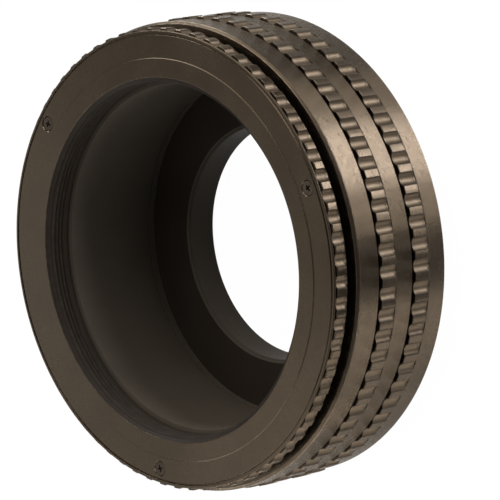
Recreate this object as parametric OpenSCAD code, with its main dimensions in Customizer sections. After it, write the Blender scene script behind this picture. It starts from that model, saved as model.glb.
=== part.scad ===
// Focusing helicoid adapter: a short focusing tube that goes between a lens and a camera.
// Z is the optical axis and points to the lens. Z = 0 is the end of the rear thread tube.
// +X passes through the first screw of the front ring. All sizes are in millimetres.

/* [Overall] */
// Distance from the rear shoulder to the front face, fully closed
body_len = 25; // [20:0.5:40]
// Nominal diameter of the front thread. The nested tubes take their sizes from it
front_thread_d = 58; // [48:0.5:72]
// Nominal diameter of the rear thread
rear_thread_d = 42; // [35:0.5:50]
// Axial travel of the front barrel
travel = 12; // [6:0.5:14.5]

/* [Nested tubes] */
// How much the light bore is smaller than the crest of the front thread, in radius
bore_step = 0.55; // [0.3:0.05:1]
// Wall of the base barrel
base_wall = 2.55; // [2.1:0.05:4]
// Wall of the front barrel, from its bore to the crest of its coarse thread
barrel_wall = 4.75; // [3.9:0.05:7]
// Wall of the focusing ring, from the crest of its coarse thread to its outside
ring_wall = 2.55; // [2.1:0.05:4]
// Radial clearance between the base barrel and the parts that run on it
slide_gap = 0.05; // [0.02:0.01:0.1]
// Radial clearance between the front barrel and the focusing ring
thread_gap = 0.05; // [0.02:0.01:0.1]
// Clearance between flat faces that turn on each other
face_gap = 0.1; // [0.05:0.05:0.3]
// Clearance between tube ends that close on each other
end_gap = 0.25; // [0.2:0.05:0.5]
// Chamfer on the ends of the tubes
end_chamfer = 0.3; // [0.1:0.05:0.5]

/* [Front ring] */
// Pitch of the front thread
front_pitch = 0.75; // [0.5:0.25:1]
// How far the mouth of the thread opens past its nominal radius
mouth_step = 0.45; // [0.2:0.05:0.8]
// Chamfer on the rear end of the wall that carries the thread
thread_end_chamfer = 0.15; // [0.05:0.05:0.3]
// Thickness of the knurled flange
flange_t = 2.95; // [2.4:0.05:3.5]
// Chamfer on the rear edge of the knurled flange
flange_chamfer = 0.52; // [0.3:0.01:0.6]
// Depth of the register that centres the ring in the front barrel
register_depth = 1.25; // [1.2:0.05:2]
// Wall of the register, from the light bore outwards
register_wall = 4.5; // [4:0.05:6]
// Radial clearance of the register in the front barrel
register_gap = 0.05; // [0.02:0.01:0.1]
// Height of the raised land round the thread
land_h = 0.12; // [0.05:0.01:0.3]
// How much the front knurl lies inside the outside of the focusing ring
front_ring_step = 0.73; // [0.3:0.01:1.5]
// How much the smooth rim lies inside the knurl
rim_step = 0.37; // [0.2:0.01:0.7]
// Axial width of the smooth rim in front of the knurl
rim_w = 0.3; // [0.2:0.05:0.6]
// Chamfer on the edge of the rim
rim_chamfer = 0.12; // [0.05:0.01:0.2]
// Axial width of the groove behind the rim
rim_groove_w = 0.15; // [0.1:0.05:0.4]
// Depth of that groove under the rim
rim_groove_depth = 0.6; // [0.3:0.05:0.8]
// Distance of the fine turned line on the face from the edge of the rim
face_line_inset = 0.42; // [0.3:0.01:0.6]
// Width of that line
face_line_w = 0.34; // [0.1:0.01:0.4]

/* [Front barrel] */
// Thickness of the flange that takes the front screws
barrel_flange_t = 0.85; // [0.7:0.05:2]
// How far that flange stands out past the coarse thread
barrel_flange_out = 0.6; // [0.3:0.05:1]
// Open gap between the front ring and the focusing ring
front_opening = 1.15; // [1.1:0.05:3]
// Clearance under the register in its recess
recess_gap = 0.2; // [0.1:0.05:0.4]

/* [Focusing ring] */
// Width of the middle smooth band
mid_band_w = 3.6; // [2:0.1:5]
// Width of the rear smooth band
rear_band_w = 3.55; // [2:0.05:5]
// Width of each knurled band
knurl_w = 3.5; // [2:0.1:4]
// Width of the groove in front of each knurled band
groove_w = 0.45; // [0.4:0.05:1.5]
// Depth of that groove
groove_depth = 0.8; // [0.6:0.05:1]
// Chamfer on the front edge
front_chamfer = 0.43; // [0.2:0.01:0.6]
// Chamfer on the rear edge
rear_chamfer = 0.05; // [0.05:0.05:0.5]
// Thickness of the lip that holds the ring on the base
lip_t = 1.1; // [0.8:0.05:2]
// Radial reach of the lip inside the coarse thread
lip_reach = 1.6; // [1.3:0.05:2.2]

/* [Knurl] */
// Number of scallops round each band
scallops = 70; // [40:1:84]
// Radius of the scallop cutter
scallop_r = 1.35; // [1:0.01:1.5]
// Depth of each scallop
scallop_depth = 0.6; // [0.4:0.05:0.9]
// How much the knurled bands of the focusing ring stand proud of its smooth bands
knurl_rise = 0.4; // [0.1:0.05:0.6]
// Angle of one land of the front ring from +X
front_knurl_turn = 4.13; // [0:0.01:9]
// Angle of one land of the focusing ring from +X
ring_knurl_turn = 4.87; // [0:0.01:9]

/* [Rear mount] */
// Length of the rear thread tube
rear_tube_len = 4; // [3:0.1:6]
// Wall of that tube at the crest of the thread
rear_tube_wall = 1.6; // [1.2:0.05:2.5]
// Width of the relief beside the rear shoulder
relief_w = 0.6; // [0.4:0.1:1]
// Depth of that relief
relief_depth = 0.55; // [0.3:0.05:0.8]
// How far the relief runs out over the shoulder, past the crest of the thread
relief_out = 0.3; // [0.1:0.05:0.6]
// Depth of the relief in the shoulder
relief_sink = 0.1; // [0.05:0.05:0.2]
// Chamfer on the end of the rear thread
thread_chamfer = 0.4; // [0.2:0.05:0.6]
// Chamfer on the rear end of the rear opening
opening_chamfer = 0.2; // [0.1:0.05:0.4]
// Radius of the rounding on the front end of the rear opening
opening_round = 0.7; // [0.3:0.05:1]
// Thickness of the rear plate outside its hub
plate_t = 1.15; // [0.9:0.05:2]
// Extra thickness of the plate's hub
hub_h = 0.55; // [0.4:0.05:1]
// How much the plate lies inside the outside of the focusing ring
plate_step = 2; // [1.6:0.1:3]

/* [Base barrel] */
// Chamfer on the edges of the light bore
bore_chamfer = 0.08; // [0.05:0.01:0.2]
// Distance of the turned groove in the light bore from the rear plate
bore_groove_up = 1.05; // [0.6:0.05:2]
// Width of that groove
bore_groove_w = 0.4; // [0.2:0.05:0.6]
// Depth of that groove
bore_groove_depth = 0.3; // [0.1:0.05:0.5]
// Thickness of the flange that holds the lip of the focusing ring
base_flange_t = 1.05; // [0.9:0.05:2]
// Radial clearance between that flange and the coarse thread
base_flange_gap = 0.15; // [0.1:0.05:0.3]

/* [Guide keys] */
// Number of keys
key_count = 3; // [2:1:4]
// Width of a key
key_w = 4; // [3.4:0.1:6]
// Length of a key
key_len = 8; // [6:0.5:10]
// Depth of the slot that holds a key in the base barrel
key_seat = 0.7; // [0.4:0.1:1]
// Height of a key above the base barrel
key_rise = 1.2; // [0.8:0.1:1.6]
// Distance of a key from the top of the base barrel
key_inset = 0.75; // [0.5:0.05:2]
// Side clearance of a key in its keyway
key_side_gap = 0.03; // [0.02:0.01:0.08]
// Clearance over a key in its keyway
key_top_gap = 0.15; // [0.1:0.05:0.3]
// Angle of the first key from +X
key_turn = 40; // [25:1:50]

/* [Screws] */
// Number of screws in the front ring, and in the rear mount
screw_count = 3; // [3:1:4]
// Distance of the front screws from the edge of the front barrel's flange
front_screw_inset = 1.45; // [1.4:0.05:1.8]
// Turn of the rear screws from the front ones
rear_screw_turn = 60; // [0:1:119]
// Radius of a screw's shank
shank_r = 0.7; // [0.5:0.05:0.8]
// Radius of a screw's head
head_r = 1.15; // [1:0.05:1.4]
// Height of the screw's countersunk head
head_h = 0.75; // [0.6:0.05:1]
// How deep a screw's head lies below the surface
head_sink = 0.1; // [0.05:0.01:0.25]
// Radial clearance of a screw in its hole
screw_gap = 0.02; // [0.01:0.01:0.05]
// Clearance past a screw's tip in its blind hole
tip_gap = 0.1; // [0.05:0.05:0.3]
// Wall left under the blind hole of a screw
tip_wall = 0.15; // [0.1:0.05:0.5]
// Width of one arm of the cross recess
cross_w = 0.3; // [0.2:0.05:0.4]
// Length of one arm of the cross recess, tip to tip
cross_len = 1.35; // [1:0.05:1.6]
// Depth of the cross recess
cross_depth = 0.4; // [0.2:0.05:0.5]
// Turn of the cross recess
cross_turn = 20; // [0:1:89]

/* [Turning stop] */
// Travel of the front barrel in one full turn of the focusing ring
lead = 16; // [13:0.5:24]
// Radius of the stop pin
stop_r = 0.4; // [0.3:0.05:0.5]
// How far the pin reaches into the groove in the lip
stop_reach = 0.4; // [0.3:0.05:0.5]
// Clearance of the pin in its groove
stop_gap = 0.08; // [0.05:0.01:0.15]
// How deep the pin is pressed into the base barrel's flange
stop_seat = 0.8; // [0.5:0.05:0.9]
// Angle of the pin from +X
stop_turn = 190; // [150:1:230]

/* [Hidden] */
$fn = 96;
over = 0.5; // how far a cutting tool runs past a face
lap = 0.01; // how far a joined stretch laps into its neighbour
round_fn = 32; // segments of the small round tools

// Radii, from the light bore outwards
front_major_r = front_thread_d / 2;
front_minor_r = (front_thread_d - 1.0825 * front_pitch) / 2;
bore_r = front_minor_r - bore_step;
base_r = bore_r + base_wall;
barrel_bore_r = base_r + slide_gap;
barrel_r = barrel_bore_r + barrel_wall;
barrel_flange_r = barrel_r + barrel_flange_out;
register_r = bore_r + register_wall;
ring_bore_r = barrel_r + thread_gap;
ring_r = ring_bore_r + ring_wall;
groove_r = ring_r - groove_depth;
front_ring_r = ring_r - front_ring_step;
rim_r = front_ring_r - rim_step;
rim_groove_r = rim_r - rim_groove_depth;
face_line_r = rim_r - face_line_inset;
lip_r = ring_bore_r - lip_reach;
seat_r = lip_r - slide_gap;
base_flange_r = ring_bore_r - base_flange_gap;
plate_r = ring_r - plate_step;
rear_thread_r = rear_thread_d / 2;
rear_bore_r = rear_thread_r - rear_tube_wall;
keyway_r = base_r + key_rise + key_top_gap;
key_r = base_r + key_rise;
front_screw_circle = barrel_flange_r - front_screw_inset;
rear_screw_circle = (base_r + seat_r) / 2;
stop_circle = (lip_r + base_flange_r) / 2;
stop_groove_w = 2 * (stop_r + stop_gap);

// Heights at the rear, from the end of the rear thread tube upwards
shoulder_z = rear_tube_len;
plate_top_z = shoulder_z + plate_t;
hub_top_z = plate_top_z + hub_h;
ring_z = plate_top_z + face_gap;
lip_top_z = ring_z + lip_t;
base_flange_z = lip_top_z + face_gap;
base_flange_top_z = base_flange_z + base_flange_t;
barrel_z = base_flange_top_z + end_gap;

// Heights at the front, from the front face downwards
face_z = shoulder_z + body_len;
land_z = face_z + land_h;
mouth_z = land_z - (front_major_r + mouth_step - front_minor_r);
rim_z = face_z - rim_w;
front_knurl_top_z = rim_z - rim_groove_w;
flange_z = face_z - flange_t;
register_z = flange_z - register_depth;
recess_z = register_z - recess_gap;
base_top_z = register_z - end_gap;
barrel_flange_z = flange_z - barrel_flange_t;
ring_top_z = flange_z - front_opening;
key_z = base_top_z - key_inset - key_len;
bore_groove_z = hub_top_z + bore_groove_up;

// Heights of the bands of the focusing ring
rear_knurl_z = ring_z + rear_band_w;
rear_groove_z = rear_knurl_z + knurl_w;
mid_band_z = rear_groove_z + groove_w;
front_knurl_z = mid_band_z + mid_band_w;
front_groove_z = front_knurl_z + knurl_w;
front_band_z = front_groove_z + groove_w;

// Lengths of the screws under the tops of their heads
under_tip = tip_gap + tip_wall;
front_screw_len = flange_t + barrel_flange_t - head_sink - under_tip;
rear_screw_len = base_flange_top_z - shoulder_z - head_sink - under_tip;
key_screw_len = key_rise + base_wall - head_sink - under_tip;
turn_range = travel / lead * 360;

screw_ids = [for (i = [1:screw_count]) i];
key_ids = [for (i = [1:key_count]) i];
key_screw_ids = [for (i = [1:2 * key_count]) i];

// A tube with square ends
module tube(r_out, r_in, z0, z1) {
    translate([0, 0, z0])
        difference() {
            cylinder(r = r_out, h = z1 - z0);
            translate([0, 0, -over])
                cylinder(r = r_in, h = z1 - z0 + 2 * over);
        }
}

// A scalloped band: lands at radius r, with round channels along the axis between them. The rear
// edge of the lands is chamfered.
module knurled_band(r, r_in, z0, z1, turn, chamfer) {
    difference() {
        rotate_extrude()
            polygon([[r_in, z0], [r - chamfer, z0], [r, z0 + chamfer], [r, z1], [r_in, z1]]);
        translate([0, 0, z0 - over])
            linear_extrude(height = z1 - z0 + 2 * over)
                for (i = [0:scallops - 1])
                    rotate(turn + (i + 0.5) * 360 / scallops)
                        translate([r - scallop_depth + scallop_r, 0])
                            circle(r = scallop_r, $fn = round_fn);
    }
}

// A countersunk screw with a cross recess. The head's top is at Z = 0 and it points down.
module screw(length) {
    difference() {
        union() {
            translate([0, 0, -head_h])
                cylinder(r1 = shank_r, r2 = head_r, h = head_h, $fn = round_fn);
            translate([0, 0, -length])
                cylinder(r = shank_r, h = length - head_h + lap, $fn = round_fn);
        }
        for (a = [0, 90])
            rotate(cross_turn + a)
                translate([-cross_len / 2, -cross_w / 2, -cross_depth])
                    cube([cross_len, cross_w, cross_depth + over]);
    }
}

// The blind hole for that screw. The surface is at Z = 0 and the cone seats the head.
module screw_hole(length) {
    hole_r = shank_r + screw_gap;
    slope = (head_r - shank_r) / head_h;
    cone_h = head_h + head_sink;
    mouth_r = hole_r + slope * cone_h;
    translate([0, 0, -cone_h])
        cylinder(r1 = hole_r, r2 = mouth_r, h = cone_h, $fn = round_fn);
    cylinder(r = mouth_r, h = over, $fn = round_fn);
    translate([0, 0, -head_sink - length - tip_gap])
        cylinder(r = hole_r, h = length + tip_gap - head_h + lap, $fn = round_fn);
}

// Places a child on the front face, over a front screw's axis
module at_front_screw(i) {
    rotate(360 / screw_count * (i - 1))
        translate([front_screw_circle, 0, face_z])
            children();
}

// Places a child on the rear shoulder, over a rear screw's axis, looking rearwards
module at_rear_screw(i) {
    rotate(rear_screw_turn + 360 / screw_count * (i - 1))
        translate([rear_screw_circle, 0, shoulder_z])
            mirror([0, 0, 1])
                children();
}

// Turns a child to the place of a key
module at_key(i) {
    rotate(key_turn + 360 / key_count * (i - 1))
        children();
}

// Places a child on a key's outside: s is -1 for its lower screw and 1 for its upper one
module at_key_screw(s) {
    translate([key_r, 0, key_z + key_len / 2 + s * key_len / 4])
        rotate([0, 90, 0])
            children();
}

// Knurled ring with the female front thread, held by three screws
module front_ring() {
    color([0.2, 0.19, 0.17])
        difference() {
            union() {
                rotate_extrude()
                    polygon([
                        [front_minor_r, mouth_z],
                        [front_major_r + mouth_step, land_z],
                        [register_r, land_z],
                        [register_r, face_z],
                        [face_line_r - face_line_w, face_z],
                        [face_line_r - face_line_w / 2, face_z - face_line_w / 2],
                        [face_line_r, face_z],
                        [rim_r - rim_chamfer, face_z],
                        [rim_r, face_z - rim_chamfer],
                        [rim_r, rim_z],
                        [rim_groove_r, rim_z],
                        [rim_groove_r, front_knurl_top_z - lap],
                        [register_r, front_knurl_top_z - lap],
                        [register_r, flange_z],
                        [register_r - register_gap, flange_z],
                        [register_r - register_gap, register_z],
                        [front_minor_r + thread_end_chamfer, register_z],
                        [front_minor_r, register_z + thread_end_chamfer]
                    ]);
                knurled_band(front_ring_r, register_r - register_gap, flange_z,
                    front_knurl_top_z, front_knurl_turn, flange_chamfer);
            }
            for (i = screw_ids)
                at_front_screw(i)
                    screw_hole(front_screw_len);
        }
}

// Sliding tube with the coarse outer thread and a keyway for each guide key
module front_barrel() {
    keyway_w = key_w + 2 * key_side_gap;
    keyway_len = recess_z - barrel_z + 2 * over;
    color([0.15, 0.145, 0.135])
        difference() {
            union() {
                tube(barrel_r, barrel_bore_r, barrel_z, flange_z);
                tube(barrel_flange_r, barrel_bore_r, barrel_flange_z, flange_z);
            }
            translate([0, 0, recess_z])
                cylinder(r = register_r, h = flange_z - recess_z + over);
            for (i = key_ids)
                at_key(i)
                    translate([0, 0, barrel_z - over])
                        intersection() {
                            translate([0, -keyway_w / 2, 0])
                                cube([keyway_r + over, keyway_w, keyway_len]);
                            cylinder(r = keyway_r, h = keyway_len);
                        }
            for (i = screw_ids)
                at_front_screw(i)
                    screw_hole(front_screw_len);
        }
}

// Turning ring with two knurled bands, the coarse inner thread and a lip at the rear
module focusing_ring() {
    core_r = groove_r - lap;
    band_in_r = ring_bore_r + end_chamfer;
    color([0.13, 0.125, 0.12])
        difference() {
            union() {
                rotate_extrude()
                    polygon([
                        [ring_bore_r, lip_top_z],
                        [ring_bore_r, ring_top_z - end_chamfer],
                        [ring_bore_r + end_chamfer, ring_top_z],
                        [ring_r - front_chamfer, ring_top_z],
                        [ring_r, ring_top_z - front_chamfer],
                        [ring_r, front_band_z],
                        [groove_r, front_band_z],
                        [groove_r, front_groove_z - lap],
                        [core_r, front_groove_z - lap],
                        [core_r, front_knurl_z],
                        [ring_r, front_knurl_z],
                        [ring_r, mid_band_z],
                        [groove_r, mid_band_z],
                        [groove_r, rear_groove_z - lap],
                        [core_r, rear_groove_z - lap],
                        [core_r, rear_knurl_z],
                        [ring_r, rear_knurl_z],
                        [ring_r, ring_z + rear_chamfer],
                        [ring_r - rear_chamfer, ring_z],
                        [lip_r, ring_z],
                        [lip_r, lip_top_z]
                    ]);
                for (z = [rear_knurl_z, front_knurl_z])
                    knurled_band(ring_r + knurl_rise, band_in_r, z, z + knurl_w,
                        ring_knurl_turn, knurl_rise);
            }
            stop_groove();
        }
}

// Arc groove in the lip. The stop pin stands at its first end when the tube is closed.
module stop_groove() {
    end_turn = asin(stop_groove_w / 2 / stop_circle);
    groove_h = stop_reach + stop_gap;
    translate([0, 0, lip_top_z - groove_h])
        rotate(stop_turn - end_turn)
            rotate_extrude(angle = turn_range + 2 * end_turn)
                translate([stop_circle - stop_groove_w / 2, 0])
                    square([stop_groove_w, groove_h + over]);
}

// Fixed inner tube: it carries the keys, and its flange holds the focusing ring
module base_barrel() {
    slot_w = key_w + 2 * screw_gap;
    slot_len = key_len + 2 * screw_gap;
    color([0.15, 0.145, 0.135])
        difference() {
            rotate_extrude()
                polygon([
                    [bore_r, hub_top_z],
                    [seat_r, hub_top_z],
                    [seat_r, base_flange_z],
                    [base_flange_r, base_flange_z],
                    [base_flange_r, base_flange_top_z],
                    [base_r, base_flange_top_z],
                    [base_r, base_top_z - end_chamfer],
                    [base_r - end_chamfer, base_top_z],
                    [bore_r + bore_chamfer, base_top_z],
                    [bore_r, base_top_z - bore_chamfer],
                    [bore_r, bore_groove_z + bore_groove_w],
                    [bore_r + bore_groove_depth, bore_groove_z + bore_groove_w],
                    [bore_r + bore_groove_depth, bore_groove_z],
                    [bore_r, bore_groove_z]
                ]);
            for (i = key_ids)
                at_key(i) {
                    translate([base_r - key_seat, -slot_w / 2, key_z - screw_gap])
                        cube([key_seat + over, slot_w, slot_len]);
                    for (s = [-1, 1])
                        at_key_screw(s)
                            screw_hole(key_screw_len);
                }
            for (i = screw_ids)
                at_rear_screw(i)
                    screw_hole(rear_screw_len);
            rotate(stop_turn)
                translate([stop_circle, 0, base_flange_z - over])
                    cylinder(r = stop_r, h = over + stop_seat, $fn = round_fn);
        }
}

// Brass key that keeps the front barrel from turning
module guide_key(i) {
    color([0.72, 0.58, 0.3])
        at_key(i)
            difference() {
                intersection() {
                    translate([base_r - key_seat, -key_w / 2, key_z])
                        cube([key_seat + key_rise, key_w, key_len]);
                    cylinder(r = key_r, h = face_z);
                }
                for (s = [-1, 1])
                    at_key_screw(s)
                        screw_hole(key_screw_len);
            }
}

// Screws 1 and 2 hold the first key, 3 and 4 the second, and so on
module key_screw(i) {
    side = i % 2 == 1 ? -1 : 1;
    color([0.5, 0.5, 0.52])
        at_key(ceil(i / 2))
            at_key_screw(side)
                translate([0, 0, -head_sink])
                    screw(key_screw_len);
}

// Rear plate in one piece with the male rear thread
module rear_mount() {
    color([0.16, 0.155, 0.145])
        difference() {
            rotate_extrude()
                polygon(concat([
                    [rear_bore_r + opening_chamfer, 0],
                    [rear_thread_r - thread_chamfer, 0],
                    [rear_thread_r, thread_chamfer],
                    [rear_thread_r, shoulder_z - relief_w],
                    [rear_thread_r - relief_depth, shoulder_z - relief_w],
                    [rear_thread_r - relief_depth, shoulder_z + relief_sink],
                    [rear_thread_r + relief_out, shoulder_z + relief_sink],
                    [rear_thread_r + relief_out, shoulder_z],
                    [plate_r - end_chamfer, shoulder_z],
                    [plate_r, shoulder_z + end_chamfer],
                    [plate_r, plate_top_z],
                    [seat_r, plate_top_z],
                    [seat_r, hub_top_z]
                ], [
                    for (a = [90:-15:0]) [
                        rear_bore_r + opening_round * (1 - cos(a)),
                        hub_top_z - opening_round * (1 - sin(a))
                    ]
                ], [
                    [rear_bore_r, opening_chamfer]
                ]));
            for (i = screw_ids)
                at_rear_screw(i)
                    screw_hole(rear_screw_len);
        }
}

// Pin in the base barrel's flange that ends the turn of the focusing ring both ways
module stop_pin() {
    color([0.6, 0.6, 0.62])
        rotate(stop_turn)
            translate([stop_circle, 0, lip_top_z - stop_reach])
                cylinder(r = stop_r, h = stop_reach + face_gap + stop_seat, $fn = round_fn);
}

// Screw that holds the front ring on the front barrel
module front_screw(i) {
    color([0.1, 0.1, 0.1])
        at_front_screw(i)
            translate([0, 0, -head_sink])
                screw(front_screw_len);
}

// Screw that holds the rear mount on the base barrel
module rear_screw(i) {
    color([0.1, 0.1, 0.1])
        at_rear_screw(i)
            translate([0, 0, -head_sink])
                screw(rear_screw_len);
}

front_ring();
front_barrel();
focusing_ring();
base_barrel();
rear_mount();
stop_pin();
for (i = screw_ids) front_screw(i);
for (i = screw_ids) rear_screw(i);
for (i = key_ids) guide_key(i);
for (i = key_screw_ids) key_screw(i);
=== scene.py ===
import math

import bmesh
import bpy
from mathutils import Euler, Matrix, Vector


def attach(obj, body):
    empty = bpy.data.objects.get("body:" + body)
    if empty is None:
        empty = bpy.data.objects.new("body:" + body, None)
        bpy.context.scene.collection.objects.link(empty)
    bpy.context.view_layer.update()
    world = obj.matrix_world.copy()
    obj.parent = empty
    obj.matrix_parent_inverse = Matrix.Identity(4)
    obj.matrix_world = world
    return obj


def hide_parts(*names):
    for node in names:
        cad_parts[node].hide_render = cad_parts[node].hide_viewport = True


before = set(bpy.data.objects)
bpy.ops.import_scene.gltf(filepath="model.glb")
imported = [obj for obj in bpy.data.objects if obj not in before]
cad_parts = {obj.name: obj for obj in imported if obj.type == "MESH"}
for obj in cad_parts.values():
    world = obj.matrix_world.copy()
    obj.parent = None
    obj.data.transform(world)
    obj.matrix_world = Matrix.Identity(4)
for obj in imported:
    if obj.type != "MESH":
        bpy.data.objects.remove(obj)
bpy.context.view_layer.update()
scene = bpy.context.scene

# Lengths below are in millimetres, from the rear end of the rear thread tube at Z = 0.
# They are made metres when a mesh is made.
MM = 0.001
TURN = 2 * math.pi

# Front ring
FACE = 29.0            # the front face
LAND = 29.12           # the raised land round the thread
LAND_R = 32.544        # its outer edge
MOUTH_R = 29.45        # outer edge of the thread's mouth
THREAD_ROOT = 29.0     # front thread, 58 mm by 0.75 mm
THREAD_CREST = 28.594
THREAD_PITCH = 0.75
FRONT_R = 37.264       # lands of the front knurl
RIM_R = 36.894         # smooth rim in front of it
RIM_GROOVE_R = 36.294
KNURL_END = 28.55      # front end of its knurl
RIM_REAR = 28.7        # rear of the smooth rim
RIM_CHAMFER = 0.12
LAND_SLOPE = 0.12      # how far the step up to the land leans inwards
LINE_R = 36.294        # the fine line cut in the face
LINE_DEPTH = 0.22
THREAD_LOW = 25.85     # the turns of the thread lie between these heights
THREAD_HIGH = 28.66
FLANGE = 26.05         # rear of the flange
FLANGE_CHAMFER = 0.52
REGISTER = 24.8        # rear end of the register
REGISTER_R = 32.544

# Front barrel
BARREL_R = 35.394
BARREL_BORE = 30.644
BARREL_REAR = 7.75
BARREL_FLANGE = 25.2
BARREL_FLANGE_R = 35.994
RECESS = 24.6
COARSE_PITCH = 2.0
COARSE_DEPTH = 0.9
LEAD = 16.0

# Focusing ring
RING_R = 37.993        # smooth bands
KNURL_R = 38.392       # lands of the knurled bands
RING_BORE = 35.444
RING_REAR = 5.25
RING_FRONT = 24.9
KNURLED_BANDS = ((8.8, 12.3), (16.35, 19.85))
GROOVE_R = 37.194      # the groove in front of each knurled band
GROOVE_W = 0.45
RING_CHAMFER = 0.43
LIP_R = 33.844
LIP_TOP = 6.35
STOP_CIRCLE = 34.569   # the stop pin and its groove in the lip
STOP_R = 0.4
STOP_LOW = 5.95
STOP_TOP = 7.25
STOP_TURN = 190.0
STOP_ROOM = 0.48       # half the groove's width, and its depth

# Knurl
RIBS = 70
RIB_COLUMNS = 11
CUTTER_R = 1.35
CUT_DEPTH = 0.6
EASE = 0.07
WEAR_AND_HIGHLIGHT_REACH = 0.1

# Base barrel and rear mount
BORE_R = 28.044
BASE_R = 30.594
BASE_TOP = 24.55
SEAT_R = 33.794
HUB_TOP = 5.70
PLATE_TOP = 5.15
PLATE_R = 35.994
SHOULDER = 4.0
REAR_THREAD_R = 21.0
REAR_BORE = 19.4
OPENING_ROUND = 0.7    # rounded front edge of the rear opening
BORE_GROOVE = (6.75, 7.15)

# Screws and keys
SCREW_CIRCLE = 34.544
REAR_SCREW_CIRCLE = 32.194
HEAD_R = 1.15
HEAD_H = 0.75
HEAD_SINK = 0.1
SHANK_R = 0.7
HEAD_ROOM = 0.08       # how much wider a countersink is than its head
KEY_R = 31.794
KEY_Z = 15.8
KEY_LENGTH = 8.0
KEY_TOP = 33.0
KEY_HALF_W = 2.0
KEY_TURN = 40.0

# The black finish
TOOL_FEED = 0.08       # tool marks of the turned faces
GRAIN_DEPTH = 0.004    # blasted grain
HOLLOW_PAINTED_LIGHT = 0.6     # how much lighter the hollows of a knurl are painted: painted light
CHAMFER_PAINTED_SHADE = 0.4    # how much darker a 45 degree chamfer is painted: painted shade


# Node trees

class Wires:
    """Adds nodes to a tree. Numbers and sockets go in, one output comes out."""

    def __init__(self, tree):
        self.tree = tree

    def add(self, kind, *values, out=0, **settings):
        node = self.tree.nodes.new(kind)
        for key, value in settings.items():
            setattr(node, key, value)
        every = kind in ("ShaderNodeMath", "ShaderNodeVectorMath")
        for socket, value in zip([s for s in node.inputs if s.enabled or every], values):
            if isinstance(value, bpy.types.NodeSocket):
                self.tree.links.new(value, socket)
            elif value is not None:
                socket.default_value = value
        return node.outputs[out]

    def math(self, operation, *values):
        return self.add("ShaderNodeMath", *values, operation=operation)

    def plus(self, a, b):
        return self.math("ADD", a, b)

    def minus(self, a, b):
        return self.math("SUBTRACT", a, b)

    def times(self, a, b):
        return self.math("MULTIPLY", a, b)

    def over(self, a, b):
        return self.math("DIVIDE", a, b)

    def vector(self, operation, *values):
        return self.add("ShaderNodeVectorMath", *values, operation=operation)

    def between(self, value, low=0.0, high=1.0):
        return self.add("ShaderNodeClamp", value, low, high)

    def blend(self, share, a, b):
        return self.plus(a, self.times(share, self.minus(b, a)))

    def parts(self, vector):
        node = self.tree.nodes.new("ShaderNodeSeparateXYZ")
        self.tree.links.new(vector, node.inputs[0])
        return node.outputs


def size_tree(name, sizes):
    """A geometry tree with a named input for each size and one for the finish."""
    tree = bpy.data.node_groups.new(name, "GeometryNodeTree")
    sockets = tree.interface
    sockets.new_socket("Geometry", in_out="INPUT", socket_type="NodeSocketGeometry")
    for label, kind in sizes:
        sockets.new_socket(label, in_out="INPUT", socket_type="NodeSocket" + kind)
    sockets.new_socket("Finish", in_out="INPUT", socket_type="NodeSocketMaterial")
    sockets.new_socket("Geometry", in_out="OUTPUT", socket_type="NodeSocketGeometry")
    given = tree.nodes.new("NodeGroupInput")
    return tree, Wires(tree), {s.name: s for s in given.outputs}


def close_tree(tree, wires, geometry, finish):
    solid = wires.add("GeometryNodeRealizeInstances", geometry)
    done = wires.add("GeometryNodeSetMaterial", solid, None, finish)
    tree.links.new(done, tree.nodes.new("NodeGroupOutput").inputs[0])
    return tree


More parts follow.
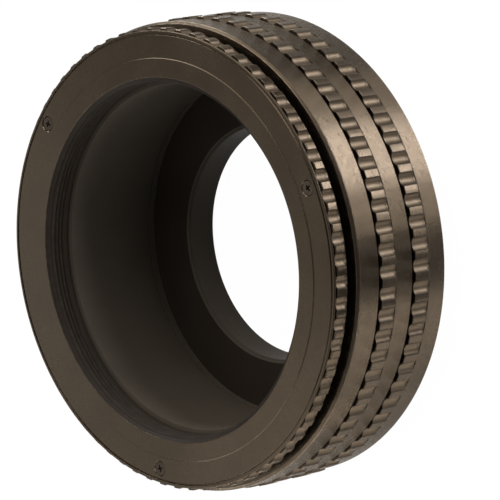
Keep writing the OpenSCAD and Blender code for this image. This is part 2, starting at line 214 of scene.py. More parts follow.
def turned_part_tree():
    """Turns an outline round the axis. Ribs are cut by a round cutter wherever the outline asks
    for it, and the rows marked as thread follow a helix between two heights."""
    tree, w, given = size_tree("turned part", [
        ("Columns", "Int"), ("Ribs", "Int"), ("Rib Columns", "Int"), ("First Land", "Float"),
        ("Land Half Angle", "Float"), ("Land Radius", "Float"), ("Cutter Radius", "Float"),
        ("Cut Depth", "Float"), ("Ease", "Float"), ("Lead", "Float"), ("Thread Low", "Float"),
        ("Thread High", "Float"), ("Low Seat", "Float"), ("High Seat", "Float"), ("Run Out", "Float")])
    outline = given["Geometry"]
    points = w.add("GeometryNodeAttributeDomainSize", outline)
    rows = w.plus(points, 1.0)
    grid = w.add("GeometryNodeMeshGrid", 1.0, 1.0, w.plus(given["Columns"], 1.0), rows)
    index = w.add("GeometryNodeInputIndex")
    column = w.math("FLOOR", w.over(w.plus(index, 0.5), rows))
    row = w.minus(index, w.times(column, rows))
    point = w.math("FLOORED_MODULO", row, points)

    def from_outline(name):
        value = w.add("GeometryNodeInputNamedAttribute", name, data_type="FLOAT")
        return w.add("GeometryNodeSampleIndex", outline, value, point, data_type="FLOAT", domain="POINT")

    radius, height = from_outline("radius"), from_outline("height")
    cut, helix, wear = from_outline("cut"), from_outline("helix"), from_outline("wear")

    # The columns of a rib: four on its land, the rest shared out over the hollow.
    half, ease_angle = given["Land Half Angle"], w.over(w.times(given["Ease"], 0.5), given["Land Radius"])
    ribs = w.math("MAXIMUM", given["Ribs"], 1.0)
    pitch = w.over(TURN, ribs)
    rib = w.math("FLOOR", w.over(w.plus(column, 0.5), given["Rib Columns"]))
    place = w.minus(column, w.times(rib, given["Rib Columns"]))
    from_middle = w.minus(place, 1.5)
    on_land = w.times(w.math("SIGN", from_middle), w.minus(half, w.times(
        ease_angle, w.minus(1.5, w.math("ABSOLUTE", from_middle)))))
    hollow = w.minus(pitch, w.times(half, 2.0))
    in_hollow = w.plus(half, w.times(hollow, w.over(
        w.minus(place, 3.0), w.minus(given["Rib Columns"], 3.0))))
    along = w.blend(w.math("GREATER_THAN", place, 3.5), on_land, in_hollow)
    ribbed = w.plus(w.plus(w.times(rib, pitch), along), given["First Land"])
    plain_angle = w.over(w.times(column, TURN), given["Columns"])
    angle = w.blend(w.math("GREATER_THAN", given["Ribs"], 0.5), plain_angle, ribbed)

    # The round cutter of the knurl
    cutter_at = w.plus(w.minus(given["Land Radius"], given["Cut Depth"]), given["Cutter Radius"])
    off = w.minus(along, w.times(pitch, 0.5))
    side = w.times(cutter_at, w.math("SINE", off))
    inside = w.math("MAXIMUM", 0.0, w.minus(
        w.times(given["Cutter Radius"], given["Cutter Radius"]), w.times(side, side)))
    floor_r = w.minus(w.times(cutter_at, w.math("COSINE", off)), w.math("SQRT", inside))
    cut_r = w.blend(cut, radius, w.math("SMOOTH_MIN", radius, floor_r, given["Ease"]))

    # The thread
    risen = w.between(w.plus(height, w.over(w.times(given["Lead"], angle), TURN)),
                      given["Thread Low"], given["Thread High"])
    from_low = w.between(w.over(w.minus(risen, given["Thread Low"]), given["Run Out"]))
    from_high = w.between(w.over(w.minus(given["Thread High"], risen), given["Run Out"]))
    flank = w.blend(from_low, given["Low Seat"], w.blend(from_high, given["High Seat"], radius))
    r = w.blend(helix, cut_r, flank)
    z = w.blend(helix, height, risen)

    place_at = w.add("ShaderNodeCombineXYZ", w.times(r, w.math("COSINE", angle)),
                     w.times(r, w.math("SINE", angle)), z)
    rib_edge = w.times(cut, w.math("MAXIMUM", w.math("LESS_THAN", place, 0.5),
                                   w.math("COMPARE", place, 3.0, 0.25)))
    # Broken edges and the edges of the ribs are marked for a lighter colour: partly wear, partly a painted
    # highlight.
    marked = w.add("GeometryNodeStoreNamedAttribute", grid, None, "wear",
                   w.math("MAXIMUM", wear, rib_edge), data_type="FLOAT", domain="POINT")
    hollow = w.between(w.over(w.minus(radius, cut_r), 0.2 * MM))
    marked = w.add("GeometryNodeStoreNamedAttribute", marked, None, "hollow", w.times(cut, hollow),
                   data_type="FLOAT", domain="POINT")
    shaped = w.add("GeometryNodeSetPosition", marked, None, place_at)
    joined = w.add("GeometryNodeMergeByDistance", shaped, None, 0.002 * MM)
    return close_tree(tree, w, joined, given["Finish"])


def set_round_tree():
    """Copies of one small part round the axis, in stacks of one or more."""
    tree, w, given = size_tree("set round the axis", [
        ("Count", "Int"), ("Stack", "Int"), ("Radius", "Float"), ("Height", "Float"),
        ("Stack Step", "Float"), ("First Turn", "Float"), ("Step", "Float"), ("Lean", "Float"),
        ("Slot Turn", "Float"), ("Slot Spread", "Float"), ("Seed", "Int")])
    line = w.add("GeometryNodeMeshLine", given["Count"])
    index = w.add("GeometryNodeInputIndex")
    stack = w.math("FLOOR", w.over(w.plus(index, 0.5), given["Stack"]))
    level = w.minus(index, w.times(stack, given["Stack"]))
    turn = w.plus(given["First Turn"], w.times(stack, given["Step"]))
    at = w.add("ShaderNodeCombineXYZ", w.times(given["Radius"], w.math("COSINE", turn)),
               w.times(given["Radius"], w.math("SINE", turn)),
               w.plus(given["Height"], w.times(level, given["Stack Step"])))
    spots = w.add("GeometryNodeSetPosition", line, None, at)
    facing = w.add("FunctionNodeEulerToRotation", w.add("ShaderNodeCombineXYZ", 0.0, given["Lean"], turn))
    copies = w.add("GeometryNodeInstanceOnPoints", spots, None, given["Geometry"], None, None, facing)
    own = w.tree.nodes.new("FunctionNodeRandomValue")
    own.data_type = "FLOAT"
    tree.links.new(w.math("SUBTRACT", 0.0, given["Slot Spread"]), own.inputs[2])
    tree.links.new(given["Slot Spread"], own.inputs[3])
    tree.links.new(given["Seed"], own.inputs["Seed"])
    spin = w.add("ShaderNodeCombineXYZ", 0.0, 0.0, w.plus(given["Slot Turn"], own.outputs[1]))
    turned = w.add("GeometryNodeRotateInstances", copies, None,
                   w.add("FunctionNodeEulerToRotation", spin), None, True)
    return close_tree(tree, w, turned, given["Finish"])


TURNED = turned_part_tree()
SET_ROUND = set_round_tree()


# Making pieces

def put(name, mesh):
    piece = bpy.data.objects.new(name, mesh)
    scene.collection.objects.link(piece)
    return piece


def plain(piece):
    """Makes the modified piece a plain mesh with its faces outwards."""
    graph = bpy.context.evaluated_depsgraph_get()
    mesh = bpy.data.meshes.new_from_object(piece.evaluated_get(graph))
    piece.modifiers.clear()
    piece.data = mesh
    slots = list(mesh.materials)
    used = [slots[face.material_index] for face in mesh.polygons]
    kept = list(dict.fromkeys(used))
    mesh.materials.clear()
    for finish_of in kept:
        mesh.materials.append(finish_of)
    mesh.polygons.foreach_set("material_index", [kept.index(finish_of) for finish_of in used])
    form = bmesh.new()
    form.from_mesh(mesh)
    bmesh.ops.remove_doubles(form, verts=form.verts, dist=0.001 * MM)
    bmesh.ops.dissolve_degenerate(form, edges=form.edges, dist=0.0005 * MM)
    bmesh.ops.recalc_face_normals(form, faces=form.faces)
    form.to_mesh(mesh)
    form.free()
    return piece


def made_by(tree, piece, finish, **sizes):
    """Runs a tree on the piece. Lengths are given in millimetres and angles in radians."""
    step = piece.modifiers.new("form", "NODES")
    step.node_group = tree
    lengths = ("Radius", "Depth", "Ease", "Lead", "Low", "High", "Seat", "Run", "Height", "Stack Step")
    for item in tree.interface.items_tree:
        label = item.name.replace(" ", "_").lower()
        if item.in_out != "INPUT" or item.socket_type == "NodeSocketGeometry":
            continue
        if item.name == "Finish":
            step[item.identifier] = finish
        elif item.socket_type == "NodeSocketInt":
            step[item.identifier] = int(sizes.get(label, 0))
        else:
            scale = MM if any(word in item.name for word in lengths) else 1.0
            step[item.identifier] = float(sizes.get(label, 0.0)) * scale
    return plain(piece)


def outline_mesh(points):
    """The outline as loose points with the values that the turning tree reads."""
    mesh = bpy.data.meshes.new("outline")
    mesh.from_pydata([(p[0] * MM, 0, p[1] * MM) for p in points], [], [])
    scales = {"radius": MM, "height": MM, "cut": 1, "helix": 1, "wear": 1}
    for k, (name, scale) in enumerate(scales.items()):
        mesh.attributes.new(name, "FLOAT", "POINT").data.foreach_set("value", [p[k] * scale for p in points])
    return mesh


def eased(corners):
    """Breaks the edges of an outline. A corner is (radius, height, edge break, cut). Rows beside a broken
    edge keep its mark for a lighter colour, partly wear and partly a painted highlight, to the edge itself."""
    corners = [tuple(c) + (0.0,) * (4 - len(c)) if len(c) < 5 else c for c in corners]
    points = []
    for k, corner in enumerate(corners):
        if len(corner) == 5 or not corner[2]:
            points.append(corner if len(corner) == 5 else (corner[0], corner[1], corner[3], 0.0, 0.0))
            continue
        rows = []
        for other in (corners[k - 1], corners[(k + 1) % len(corners)]):
            dr, dz = other[0] - corner[0], other[1] - corner[1]
            length = max(math.hypot(dr, dz), 1e-6)
            for reach, wear in ((corner[2], 1.0), (corner[2] + WEAR_AND_HIGHLIGHT_REACH, 0.0)):
                share = reach / length
                if share < 0.45 or wear:
                    share = min(share, 0.4)
                    rows.append((corner[0] + dr * share, corner[1] + dz * share, corner[3], 0.0, wear))
            if len(rows) < 3:
                rows.reverse()
        points += rows
    return points


def thread_rows(root, crest, pitch, root_flat, crest_flat, low, high, root_at):
    """Rows of a thread, from its low end up. The marks say that they follow the helix."""
    flank = (pitch - root_flat - crest_flat) / 2
    first = math.floor((low - root_at) / pitch) - 1
    last = math.ceil((high - root_at) / pitch) + 1
    rows = []
    for k in range(first, last + 1):
        z = root_at + k * pitch
        rows += [(root, z - root_flat / 2, 0, 1, 0), (root, z + root_flat / 2, 0, 1, 0),
                 (crest, z + root_flat / 2 + flank, 0, 1, 0.5),
                 (crest, z + root_flat / 2 + flank + crest_flat, 0, 1, 0.5)]
    return rows


def turned(name, corners, finish, columns, **sizes):
    sizes.setdefault("run_out", 1.0)
    sizes.setdefault("rib_columns", RIB_COLUMNS)
    return made_by(TURNED, put(name, outline_mesh(eased(corners))), finish, columns=columns,
                   land_radius=sizes.pop("land_radius", 30.0), ease=EASE, **sizes)


def land_half_angle(land_r):
    """Half the angle that a land takes up, from where the cutter's circle meets the land's radius."""
    at = land_r - CUT_DEPTH + CUTTER_R
    reach = math.acos((land_r ** 2 + at ** 2 - CUTTER_R ** 2) / (2 * land_r * at))
    return math.pi / RIBS - reach


def knurl_sizes(land_r, first_land):
    return dict(ribs=RIBS, first_land=math.radians(first_land), land_half_angle=land_half_angle(land_r),
                land_radius=land_r, cutter_radius=CUTTER_R, cut_depth=CUT_DEPTH)


def cut_away(piece, *tools, operation="DIFFERENCE"):
    for tool in tools:
        step = piece.modifiers.new("cut", "BOOLEAN")
        step.operation = operation
        step.solver = "MANIFOLD"
        step.object = tool
        plain(piece)
        bpy.data.objects.remove(tool)
    return piece


def lined(piece, radius, finish_of):
    """Gives the faces inside the radius another finish."""
    piece.data.materials.append(finish_of)
    for face in piece.data.polygons:
        if math.hypot(face.center.x, face.center.y) < radius * MM:
            face.material_index = len(piece.data.materials) - 1
    return piece


def finished(piece, body, nodes, sharp=31.0):
    """Smooths the curved faces, keeps the edges sharp and ties the piece to the frame."""
    for face in piece.data.polygons:
        face.use_smooth = True
    piece.data.set_sharp_from_angle(angle=math.radians(sharp))
    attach(piece, body)
    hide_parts(*nodes)
    return piece


# Finishes

def finish(name):
    """A new material. Returns it with its shader and its wires."""
    material = bpy.data.materials.new(name)
    material.use_nodes = True
    return material, material.node_tree.nodes["Principled BSDF"], Wires(material.node_tree)


def mixed(w, share, a, b):
    node = w.tree.nodes.new("ShaderNodeMix")
    node.data_type = "RGBA"
    for socket, value in zip((node.inputs[0], node.inputs[6], node.inputs[7]), (share, a, b)):
        if isinstance(value, bpy.types.NodeSocket):
            w.tree.links.new(value, socket)
        else:
            socket.default_value = value
    return node.outputs[2]


def ranged(w, value, low, high, to_low, to_high):
    return w.add("ShaderNodeMapRange", value, low, high, to_low, to_high)


def anodised(name, colour, dust, edge, rough, metal=1.0, gloss=0.5, stretch=0.0, tilt=0.0):
    """Satin black anodising: tool marks that lean the surface to and fro by the tilt, a blasted grain, dust,
    and lighter edges that are partly rubbed and partly a painted highlight. A knurl's hollows are painted
    lighter (painted light) and 45 degree chamfers darker (painted shade)."""
    material, shader, w = finish(name)
    where = w.add("ShaderNodeTexCoord", out=3)
    x, y, z = w.parts(where)
    radius = w.math("SQRT", w.plus(w.times(x, x), w.times(y, y)))
    normal = w.add("ShaderNodeNewGeometry", out=1)
    upright = w.parts(normal)[2]
    slope = w.minus(1.0, w.times(w.times(upright, upright), 2.0))
    chamfer = w.between(w.minus(1.0, w.math("ABSOLUTE", slope)))

    lathe = w.add("ShaderNodeCombineXYZ", radius, 0.0, z)
    wander = w.add("ShaderNodeTexNoise", lathe, 3000.0, 2.0, 0.5)
    feed = w.math("FRACT", w.plus(w.over(w.plus(radius, w.times(z, 1.7)), TOOL_FEED * MM), wander))
    grain = w.add("ShaderNodeTexNoise", where, 5200.0, 3.0, 0.65)
    cloud = w.add("ShaderNodeTexNoise", where, 130.0, 3.0, 0.5)
    patch = w.add("ShaderNodeTexNoise", where, 900.0, 2.0, 0.5)

    speck_cells = w.tree.nodes.new("ShaderNodeTexVoronoi")
    speck_cells.inputs["Scale"].default_value = 620.0
    w.tree.links.new(where, speck_cells.inputs["Vector"])
    near = w.math("LESS_THAN", speck_cells.outputs["Distance"], 0.06)
    some = w.math("GREATER_THAN", w.add("ShaderNodeSeparateColor", speck_cells.outputs["Color"]), 0.88)
    speck = w.times(near, some)

    wear_and_highlight_mask = w.add("ShaderNodeAttribute", attribute_name="wear", out=2)
    rubbed_and_highlit = w.times(wear_and_highlight_mask, ranged(w, patch, 0.4, 0.62, 0.15, 1.0))

    hollow = w.add("ShaderNodeAttribute", attribute_name="hollow", out=2)
    # Colour scale: random tone and grain, with painted light in a knurl's hollows and painted shade on
    # chamfers.
    tone_and_painted_light = ranged(w, cloud, 0.3, 0.7, 0.92, 1.08)
    # The hollows of a knurl are painted lighter: painted light.
    tone_and_painted_light = w.times(tone_and_painted_light, w.plus(1.0, w.times(hollow, HOLLOW_PAINTED_LIGHT)))
    # 45 degree chamfers are painted darker: painted shade.
    tone_and_painted_light = w.times(tone_and_painted_light, w.minus(1.0, w.times(chamfer, CHAMFER_PAINTED_SHADE)))
    tone_and_painted_light = w.times(tone_and_painted_light, ranged(w, grain, 0.3, 0.7, 0.9, 1.1))
    base = w.vector("SCALE", colour, None, None, tone_and_painted_light)
    # Edges are mixed towards the lighter edge colour: partly rubbed anodising, partly a painted highlight.
    tone = mixed(w, w.times(rubbed_and_highlit, 0.4), base, (*edge, 1))
    tone = mixed(w, w.times(speck, 0.6), tone, (*dust, 1))
    w.tree.links.new(tone, shader.inputs["Base Color"])

    dull = w.plus(ranged(w, cloud, 0.3, 0.7, rough - 0.03, rough + 0.03),
                  ranged(w, patch, 0.3, 0.7, -0.02, 0.02))
    dull = w.plus(dull, w.minus(w.times(hollow, 0.14), w.times(rubbed_and_highlit, 0.04)))
    w.tree.links.new(w.plus(dull, w.times(chamfer, 0.04)), shader.inputs["Roughness"])

    round_it = w.add("ShaderNodeCombineXYZ", w.times(y, -1.0), x, 0.0)
    round_it = w.add("ShaderNodeVectorTransform", round_it, vector_type="VECTOR",
                     convert_from="OBJECT", convert_to="WORLD")
    w.tree.links.new(round_it, shader.inputs["Tangent"])
    across = w.vector("CROSS_PRODUCT", normal, w.vector("NORMALIZE", round_it))
    lean = ranged(w, w.math("PINGPONG", feed, 0.5), 0.1, 0.2, -tilt, tilt)
    turned_over = w.plus(w.between(slope, -0.3, 1.0), w.times(chamfer, 0.45))
    lean = w.times(w.times(lean, turned_over), w.minus(1.0, w.times(wear_and_highlight_mask, 0.75)))
    leaned = w.vector("NORMALIZE", w.vector("ADD", normal, w.vector("SCALE", across, None, None, lean)))
    bump = w.tree.nodes.new("ShaderNodeBump")
    bump.inputs["Strength"].default_value = 1.0
    bump.inputs["Distance"].default_value = MM
    w.tree.links.new(w.times(grain, GRAIN_DEPTH), bump.inputs["Height"])
    w.tree.links.new(leaned, bump.inputs["Normal"])
    w.tree.links.new(bump.outputs[0], shader.inputs["Normal"])
    shader.inputs["Metallic"].default_value = metal
    shader.inputs["Specular Tint"].default_value = (1.0, 0.95, 0.88, 1)
    shader.inputs["Specular IOR Level"].default_value = gloss
    shader.inputs["Anisotropic"].default_value = stretch
    shader.inputs["Anisotropic Rotation"].default_value = 0.25
    return material


def bare_metal(name, colour, dark, rough, grain_size, grain_depth):
    """Bare or blackened metal: fine marks, darker patches and brighter edges."""
    material, shader, w = finish(name)
    where = w.add("ShaderNodeTexCoord", out=3)
    marks = w.add("ShaderNodeTexNoise", where, grain_size, 3.0, 0.6)
    patch = w.add("ShaderNodeTexNoise", where, 700.0, 2.0, 0.5)
    wear_and_highlight_mask = w.add("ShaderNodeAttribute", attribute_name="wear", out=2)
    tone = mixed(w, ranged(w, patch, 0.35, 0.7, 0.0, 0.7), (*colour, 1), (*dark, 1))
    bright = tuple(min(1.0, c * 1.8 + 0.03) for c in colour)
    tone = mixed(w, w.times(wear_and_highlight_mask, 0.5), tone, (*bright, 1))
    w.tree.links.new(tone, shader.inputs["Base Color"])
    w.tree.links.new(ranged(w, marks, 0.3, 0.7, rough - 0.06, rough + 0.06), shader.inputs["Roughness"])
    bump = w.tree.nodes.new("ShaderNodeBump")
    bump.inputs["Strength"].default_value = 1.0
    bump.inputs["Distance"].default_value = MM
    w.tree.links.new(w.times(marks, grain_depth), bump.inputs["Height"])
    w.tree.links.new(bump.outputs[0], shader.inputs["Normal"])
    shader.inputs["Metallic"].default_value = 1.0
    return material


# The third colour of each finish is its lighter edge colour: partly rubbed anodising, partly a painted
# highlight.
BLACK_BAND = anodised("black anodised aluminium", (0.038, 0.0285, 0.0195), (0.012, 0.01, 0.008),
                      (0.09, 0.074, 0.06), 0.26, stretch=0.2, tilt=0.47)
BLACK_BORE = anodised("matt black bore", (0.028, 0.023, 0.0175), (0.02, 0.017, 0.013),
                      (0.09, 0.074, 0.06), 0.55, metal=0.0, gloss=0.04)
# A much darker copy of the bore's finish. On the thread in the front ring's mouth it stands for the shade
# there: painted shade.
BLACK_TUBE = anodised("black inner thread", (0.0095, 0.0073, 0.0054), (0.02, 0.017, 0.013),
                      (0.03, 0.025, 0.02), 0.5, metal=0.0, gloss=0.03)
BLACK_STEEL = bare_metal("blackened steel", (0.042, 0.032, 0.023), (0.024, 0.018, 0.013), 0.46, 9000.0, 0.01)
STEEL = bare_metal("plain steel", (0.5, 0.5, 0.51), (0.36, 0.36, 0.37), 0.3, 9000.0, 0.008)
BRASS = bare_metal("milled brass", (0.72, 0.55, 0.25), (0.5, 0.36, 0.15), 0.3, 6000.0, 0.01)


# Small parts

def screw(length, finish_of):
    """A countersunk screw pointing down, its head's top at Z = 0, with a cross recess."""
    rise = 0.3
    low, high = -length + 0.15, -HEAD_H - 0.12
    rows = thread_rows(SHANK_R - 0.16, SHANK_R - 0.01, rise, 0.06, 0.05, low - rise, high, 0.0)
    corners = [(0, -length), (SHANK_R - 0.2, -length), (SHANK_R - 0.16, low), *rows,
               (SHANK_R - 0.16, high), (SHANK_R - 0.02, -HEAD_H),
               (HEAD_R - 0.01, -0.09, 0.02), (HEAD_R - 0.01, -0.02), (HEAD_R - 0.1, 0.0), (0, 0)]
    part = turned("screw", corners, finish_of, 40, lead=rise, thread_low=low, thread_high=high,
                  low_seat=SHANK_R - 0.16, high_seat=SHANK_R - 0.16, run_out=0.15)
    form = bmesh.new()
    for turn in (0, math.pi / 2):
        arm = bmesh.ops.create_cube(form, size=1.0)["verts"]
        for v in arm:
            top = v.co.z > 0
            v.co = Vector((v.co.x * (1.36 if top else 0.7), v.co.y * (0.32 if top else 0.2),
                           0.12 if top else -0.46))
        if turn:
            bmesh.ops.rotate(form, verts=arm, matrix=Matrix.Rotation(turn, 3, "Z"))
    bmesh.ops.scale(form, vec=(MM, MM, MM), verts=form.verts)
    mesh = bpy.data.meshes.new("cross")
    form.to_mesh(mesh)
    form.free()
    mesh.materials.append(finish_of)
    arms = put("cross", mesh)
    first = arms.copy()
    first.data = half_of(mesh, True)
    arms.data = half_of(mesh, False)
    scene.collection.objects.link(first)
    return cut_away(part, first, arms)


def half_of(mesh, first):
    """One of the two arms of the cross."""
    form = bmesh.new()
    form.from_mesh(mesh)
    form.verts.ensure_lookup_table()
    drop = form.verts[8:] if first else form.verts[:8]
    bmesh.ops.delete(form, geom=drop, context="VERTS")
    bmesh.ops.recalc_face_normals(form, faces=form.faces)
    arm = bpy.data.meshes.new("arm")
    form.to_mesh(arm)
    form.free()
    arm.materials.append(mesh.materials[0])
    return arm


def hole_tool(depth, mouth, inside, shank=SHANK_R + 0.02, drill=0.0):
    """The tool that makes a screw's hole. The surface is at Z = 0."""
    slope = (HEAD_R - SHANK_R) / HEAD_H
    cone = mouth and (HEAD_H + HEAD_SINK)
    above = 0.4
    corners = [(0, above), (shank + HEAD_ROOM + slope * (cone + above) if mouth else shank, above)]
    if mouth:
        corners += [(shank + HEAD_ROOM, -cone), (shank, -cone - 0.02)]
    corners += [(shank, -depth), (0, -depth - drill)]
    return turned("tool", corners, inside, 40)


def box_tool(low, high, inside, edge=0.0):
    form = bmesh.new()
    bmesh.ops.create_cube(form, size=1.0)
    for v in form.verts:
        v.co = Vector([(high[k] if v.co[k] > 0 else low[k]) * MM for k in range(3)])
    if edge:
        bmesh.ops.bevel(form, geom=form.edges[:], offset=edge * MM, segments=2, affect="EDGES")
    mesh = bpy.data.meshes.new("box")
    form.to_mesh(mesh)
    form.free()
    mesh.materials.append(inside)
    return put("box", mesh)


def set_round(part, name, finish_of, **sizes):
    """Copies of the part round the axis as one mesh."""
    sizes.setdefault("stack", 1)
    sizes.setdefault("step", math.radians(120))
    part.name = name
    form = part.data
    spread = made_by(SET_ROUND, part, finish_of, **sizes)
    bpy.data.meshes.remove(form)
    return spread


FRONT_SCREWS = dict(count=3, radius=SCREW_CIRCLE, first_turn=0.0)
REAR_SCREWS = dict(count=3, radius=REAR_SCREW_CIRCLE, first_turn=math.radians(60), lean=math.pi)
KEY_SCREWS = dict(count=6, stack=2, radius=KEY_R, height=KEY_Z + KEY_LENGTH / 4, stack_step=KEY_LENGTH / 2,
                  first_turn=math.radians(KEY_TURN), lean=math.pi / 2)
KEYS = dict(count=3, first_turn=math.radians(KEY_TURN))


def stop_place():
    """Moves a piece on the axis to where the stop pin stands."""
    return Matrix.Rotation(math.radians(STOP_TURN), 4, "Z") @ Matrix.Translation((STOP_CIRCLE * MM, 0, 0))


# The pieces

def focusing_ring():
    """Smooth bands, grooves and two knurled bands, a plain bore and the lip that holds the ring."""
    edge = 0.03
    corners = [(LIP_R, RING_REAR, 0.08), (RING_R - 0.05, RING_REAR), (RING_R, RING_REAR + 0.05)]
    for base, top in KNURLED_BANDS:
        corners += [
            (RING_R, base, edge), (RING_R, base, 0, 1), (KNURL_R, base + KNURL_R - RING_R, 0.05, 1),
            (KNURL_R, top, 0.05, 1), (GROOVE_R, top), (GROOVE_R, top + GROOVE_W),
            (RING_R, top + GROOVE_W, edge)]
    corners += [
        (RING_R, RING_FRONT - RING_CHAMFER, edge), (RING_R - RING_CHAMFER, RING_FRONT, edge),
        (RING_BORE + 0.3, RING_FRONT), (RING_BORE, RING_FRONT - 0.3),
        (RING_BORE, LIP_TOP),
        (STOP_CIRCLE + STOP_ROOM, LIP_TOP), (STOP_CIRCLE + STOP_ROOM, LIP_TOP - STOP_ROOM),
        (STOP_CIRCLE - STOP_ROOM, LIP_TOP - STOP_ROOM), (STOP_CIRCLE - STOP_ROOM, LIP_TOP),
        (LIP_R, LIP_TOP, 0.08)]
    ring = turned("knurled_ring", corners, BLACK_BAND, RIBS * RIB_COLUMNS, **knurl_sizes(KNURL_R, 4.87))
    return finished(ring, "ring", ["focusing_ring"])


def front_ring():
    """Knurled flange with a fine female thread, a raised land and three countersunk holes."""
    low, high = THREAD_LOW, THREAD_HIGH
    rows = thread_rows(THREAD_ROOT, THREAD_CREST, THREAD_PITCH, 0.1, 0.17, low - THREAD_PITCH, high, 0.26)
    corners = [
        (THREAD_CREST + 0.15, REGISTER), (REGISTER_R - 0.05, REGISTER, 0.06), (REGISTER_R - 0.05, FLANGE),
        (FRONT_R - FLANGE_CHAMFER, FLANGE, 0, 1), (FRONT_R, FLANGE + FLANGE_CHAMFER, 0.05, 1),
        (FRONT_R, KNURL_END, 0.05, 1), (RIM_GROOVE_R, KNURL_END), (RIM_GROOVE_R, RIM_REAR),
        (RIM_R, RIM_REAR, 0.03), (RIM_R, FACE - RIM_CHAMFER), (RIM_R - RIM_CHAMFER, FACE),
        (LINE_R + 0.16, FACE), (LINE_R + 0.11, FACE - LINE_DEPTH),
        (LINE_R - 0.07, FACE - LINE_DEPTH), (LINE_R - 0.16, FACE),
        (LAND_R, FACE), (LAND_R - LAND_SLOPE, LAND), (MOUTH_R, LAND, 0.02), (THREAD_ROOT, high),
        *reversed(rows),
        (THREAD_CREST, low), (THREAD_CREST, REGISTER + 0.15)]
    ring = turned("thread_ring", corners, BLACK_BAND, RIBS * RIB_COLUMNS, lead=THREAD_PITCH,
                  thread_low=low, thread_high=high, low_seat=THREAD_CREST, high_seat=THREAD_ROOT,
                  run_out=0.3, **knurl_sizes(FRONT_R, 4.13))
    holes = set_round(hole_tool(3.2, True, BLACK_TUBE), "holes", BLACK_TUBE, height=FACE, **FRONT_SCREWS)
    # The thread in the mouth gets a darker finish than the bore: painted shade.
    ring = lined(cut_away(ring, holes), MOUTH_R - 0.01, BLACK_TUBE)
    return finished(ring, "front", ["front_ring"])


def front_barrel():
    """Sliding tube: a coarse thread outside, keyways inside, a flange for the front screws."""
    root, low, high = BARREL_R - COARSE_DEPTH, BARREL_REAR + 0.05, 25.0
    rows = thread_rows(root, BARREL_R, COARSE_PITCH, 0.75, 0.7, low - LEAD, high, 0.4)
    corners = [
        (BARREL_BORE, BARREL_REAR, 0.1), (root, BARREL_REAR), *rows, (root, 25.05), (root, BARREL_FLANGE),
        (BARREL_FLANGE_R, BARREL_FLANGE, 0.06), (BARREL_FLANGE_R, FLANGE, 0.06), (REGISTER_R, FLANGE, 0.06),
        (REGISTER_R, RECESS), (BARREL_BORE, RECESS, 0.08)]
    barrel = turned("sliding_tube", corners, BLACK_TUBE, 320, lead=LEAD, thread_low=low, thread_high=high,
                    low_seat=root, high_seat=root, run_out=0.45)
    half_w = KEY_HALF_W + 0.03
    keyway = box_tool((29.5, -half_w, 7.0), (31.944, half_w, 25.6), BLACK_TUBE)
    keyways = set_round(keyway, "keyways", BLACK_TUBE, **KEYS)
    hole = hole_tool(FACE - 25.35, False, BLACK_TUBE, drill=0.12)
    holes = set_round(hole, "holes", BLACK_TUBE, height=FACE, **FRONT_SCREWS)
    return finished(cut_away(barrel, keyways, holes), "front", ["front_barrel"])


def base_barrel():
    """Fixed inner tube with the light bore, key slots and the flange under the focusing ring's lip."""
    corners = [
        (BORE_R, HUB_TOP, 0.03), (SEAT_R, HUB_TOP, 0.05), (SEAT_R, 6.45), (35.294, 6.45, 0.06),
        (35.294, 7.5, 0.06), (BASE_R, 7.5), (BASE_R, BASE_TOP - 0.3), (BASE_R - 0.3, BASE_TOP),
        (BORE_R + 0.08, BASE_TOP), (BORE_R, BASE_TOP - 0.08),
        (BORE_R, BORE_GROOVE[1]), (BORE_R + 0.3, BORE_GROOVE[1]),
        (BORE_R + 0.3, BORE_GROOVE[0]), (BORE_R, BORE_GROOVE[0])]
    barrel = turned("inner_tube", corners, BLACK_BORE, 256)
    room = 0.02
    slot = box_tool((BASE_R - 0.7, -KEY_HALF_W - room, KEY_Z - room),
                    (KEY_TOP, KEY_HALF_W + room, KEY_Z + KEY_LENGTH + room), BLACK_BORE)
    slots = set_round(slot, "slots", BLACK_BORE, **KEYS)
    key_holes = set_round(hole_tool(3.6, False, BLACK_BORE), "key_holes", BLACK_BORE, **KEY_SCREWS)
    rear_hole = hole_tool(3.35, False, BLACK_BORE, drill=0.1)
    rear_holes = set_round(rear_hole, "rear_holes", BLACK_BORE, height=SHOULDER, **REAR_SCREWS)
    drilled = [(0, 5.9), (STOP_R, 5.9), (STOP_R, STOP_TOP), (0, STOP_TOP)]
    pin_hole = turned("pin_hole", drilled, BLACK_BORE, 32)
    pin_hole.data.transform(stop_place())
    return finished(cut_away(barrel, slots, key_holes, rear_holes, pin_hole), "base",
                    ["base_barrel"])


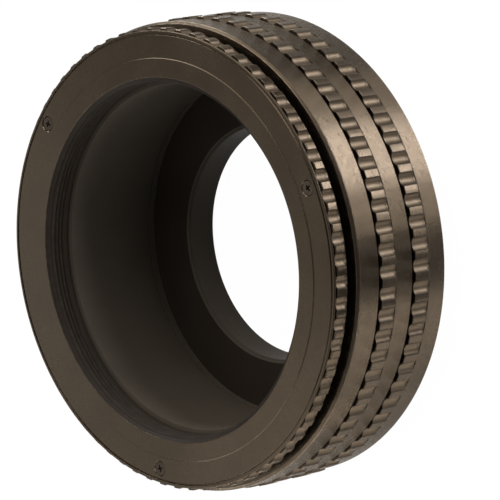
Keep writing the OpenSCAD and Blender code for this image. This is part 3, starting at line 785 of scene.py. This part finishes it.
def rear_mount():
    """Rear plate with the rear opening and the male rear thread."""
    low, high, root = 0.1, 3.4, REAR_THREAD_R - 0.6
    rows = thread_rows(root, REAR_THREAD_R, 1.0, 0.2, 0.125, low - 1.0, high, 0.3)
    rounding = [(REAR_BORE + OPENING_ROUND * (1 - math.cos(a)), HUB_TOP - OPENING_ROUND * (1 - math.sin(a)))
                for a in [math.radians(90 - 10 * k) for k in range(10)]]
    corners = [
        (REAR_BORE + 0.2, 0), (root - 0.05, 0), (root, low), *rows, (root, high), (root + 0.05, high + 0.01),
        (root + 0.05, SHOULDER + 0.1), (21.3, SHOULDER + 0.1), (21.3, SHOULDER, 0.04),
        (PLATE_R - 0.3, SHOULDER), (PLATE_R, SHOULDER + 0.3), (PLATE_R, PLATE_TOP, 0.05),
        (SEAT_R, PLATE_TOP), (SEAT_R, HUB_TOP, 0.04), (REAR_BORE + 1.0, HUB_TOP), *rounding,
        (REAR_BORE, 0.2)]
    mount = turned("rear_plate", corners, BLACK_TUBE, 320, lead=1.0, thread_low=low, thread_high=high,
                   low_seat=root, high_seat=root, run_out=0.5)
    holes = set_round(hole_tool(2.2, True, BLACK_TUBE), "holes", BLACK_TUBE, height=SHOULDER, **REAR_SCREWS)
    mount = lined(cut_away(mount, holes), REAR_BORE + 0.6, BLACK_BORE)
    return finished(mount, "base", ["rear_mount"])


def guide_keys():
    """Three brass keys, each with two countersunk holes."""
    bar = box_tool((BASE_R - 0.7, -KEY_HALF_W, KEY_Z), (KEY_TOP, KEY_HALF_W, KEY_Z + KEY_LENGTH), BRASS, 0.12)
    round_top = turned("round_top", [(0, 10), (KEY_R, 10), (KEY_R, 25), (0, 25)], BRASS, 720)
    cut_away(bar, round_top, operation="INTERSECT")
    for height in (KEY_Z + KEY_LENGTH / 4, KEY_Z + KEY_LENGTH * 3 / 4):
        tool = hole_tool(3.0, True, BRASS)
        tool.data.transform(Matrix.Translation((KEY_R * MM, 0, height * MM))
                            @ Matrix.Rotation(math.pi / 2, 4, "Y"))
        cut_away(bar, tool)
    keys = set_round(bar, "guide_keys", BRASS, **KEYS)
    return finished(keys, "base", [f"guide_key_{i}" for i in (1, 2, 3)])


def screw_sets():
    front = set_round(screw(3.45, BLACK_STEEL), "front_screws", BLACK_STEEL, height=FACE - HEAD_SINK,
                      slot_turn=math.radians(20), seed=4, **FRONT_SCREWS)
    finished(front, "front", [f"front_screw_{i}" for i in (1, 2, 3)])
    rear = set_round(screw(3.15, BLACK_STEEL), "rear_screws", BLACK_STEEL, height=SHOULDER + HEAD_SINK,
                     slot_turn=math.radians(20), slot_spread=math.radians(40), seed=7, **REAR_SCREWS)
    finished(rear, "base", [f"rear_screw_{i}" for i in (1, 2, 3)])
    keyed = dict(KEY_SCREWS, radius=KEY_R - HEAD_SINK)
    small = set_round(screw(3.4, STEEL), "key_screws", STEEL, slot_turn=math.radians(15),
                      slot_spread=math.radians(40), seed=3, **keyed)
    finished(small, "base", [f"key_screw_{i}" for i in range(1, 7)])


def stop_pin():
    corners = [(0, STOP_LOW), (STOP_R, STOP_LOW, 0.06), (STOP_R, STOP_TOP, 0.06), (0, STOP_TOP)]
    pin = turned("travel_pin", corners, STEEL, 32)
    pin.data.transform(stop_place())
    return finished(pin, "base", ["stop_pin"])


focusing_ring()
front_ring()
front_barrel()
base_barrel()
rear_mount()
guide_keys()
screw_sets()
stop_pin()


# Camera, floor and light

camera_data = bpy.data.cameras.new("camera")
camera = put("camera", camera_data)
camera.location = Vector((411.089, -89.081, 415.628)) * MM
camera.rotation_euler = Euler([math.radians(a) for a in (-10.1484, 45.2071, -26.3094)], "XYZ")
camera_data.sensor_width = 36
camera_data.lens = 257.36
camera_data.clip_start = 0.01
camera_data.clip_end = 20
scene.camera = camera


def studio_floor():
    """A plain white floor. It looks white to the camera and in the metal, and keeps a soft shadow."""
    half = 3.0
    mesh = bpy.data.meshes.new("floor")
    corners = [(-half, -half, 0), (half, -half, 0), (half, half, 0), (-half, half, 0)]
    mesh.from_pydata(corners, [], [(0, 1, 2, 3)])
    floor = put("floor", mesh)
    material, shader, w = finish("white floor")
    shader.inputs["Base Color"].default_value = (0.8, 0.8, 0.8, 1)
    shader.inputs["Roughness"].default_value = 0.9
    glow = w.add("ShaderNodeEmission", (1, 1, 1, 1), 1.0)
    path = w.tree.nodes.new("ShaderNodeLightPath").outputs
    seen = w.math("MAXIMUM", path["Is Camera Ray"], w.math(
        "MAXIMUM", path["Is Glossy Ray"], path["Is Transmission Ray"]))
    mix = w.add("ShaderNodeMixShader", w.times(seen, 0.98), shader.outputs[0], glow)
    w.tree.links.new(mix, w.tree.nodes["Material Output"].inputs["Surface"])
    mesh.materials.append(material)


def soft_box(name, azimuth, elevation, wide, high, power, colour=(1, 1, 1)):
    """A soft box a metre away. Its width and height are the angles that it fills, in degrees."""
    lamp = bpy.data.lights.new(name, "AREA")
    lamp.shape = "RECTANGLE"
    lamp.size = 2 * math.tan(math.radians(wide / 2))
    lamp.size_y = 2 * math.tan(math.radians(high / 2))
    lamp.energy = power
    lamp.color = colour
    holder = put(name, lamp)
    a, e = math.radians(azimuth), math.radians(elevation)
    holder.location = Vector((math.cos(e) * math.cos(a), math.cos(e) * math.sin(a), math.sin(e)))
    holder.rotation_euler = (Vector((0, 0, 0.015)) - holder.location).to_track_quat("-Z", "Y").to_euler()


studio_floor()
world = bpy.data.worlds.new("studio")
scene.world = world
world.use_nodes = True
sky = world.node_tree.nodes["Background"].inputs
sky["Color"].default_value = (1, 1, 1, 1)
sky["Strength"].default_value = 0.35
# Low boxes light the walls and high ones the bore and the face.
soft_box("key", 18, 6, 26, 12, 9.8, (0.95, 1.0, 1.12))
soft_box("key side", 20, 6, 70, 12, 11)
soft_box("right", 104, 7, 30, 14, 13)
soft_box("left", -68, 7, 50, 12, 6)
soft_box("far left", -120, 7, 60, 14, 16, (1.0, 0.94, 0.86))
soft_box("over left", -105, 28, 30, 24, 3)
soft_box("over front", -60, 28, 30, 24, 1.8)
soft_box("over right", 78, 40, 70, 24, 20, (1.0, 0.97, 0.93))
soft_box("behind left", -150, 46, 36, 36, 2.7)
soft_box("behind", 168, 56, 40, 44, 1.4)
soft_box("behind low", 172, 24, 36, 20, 1)
soft_box("overhead", 0, 86, 40, 40, 2)
scene.view_settings.view_transform = "Standard"
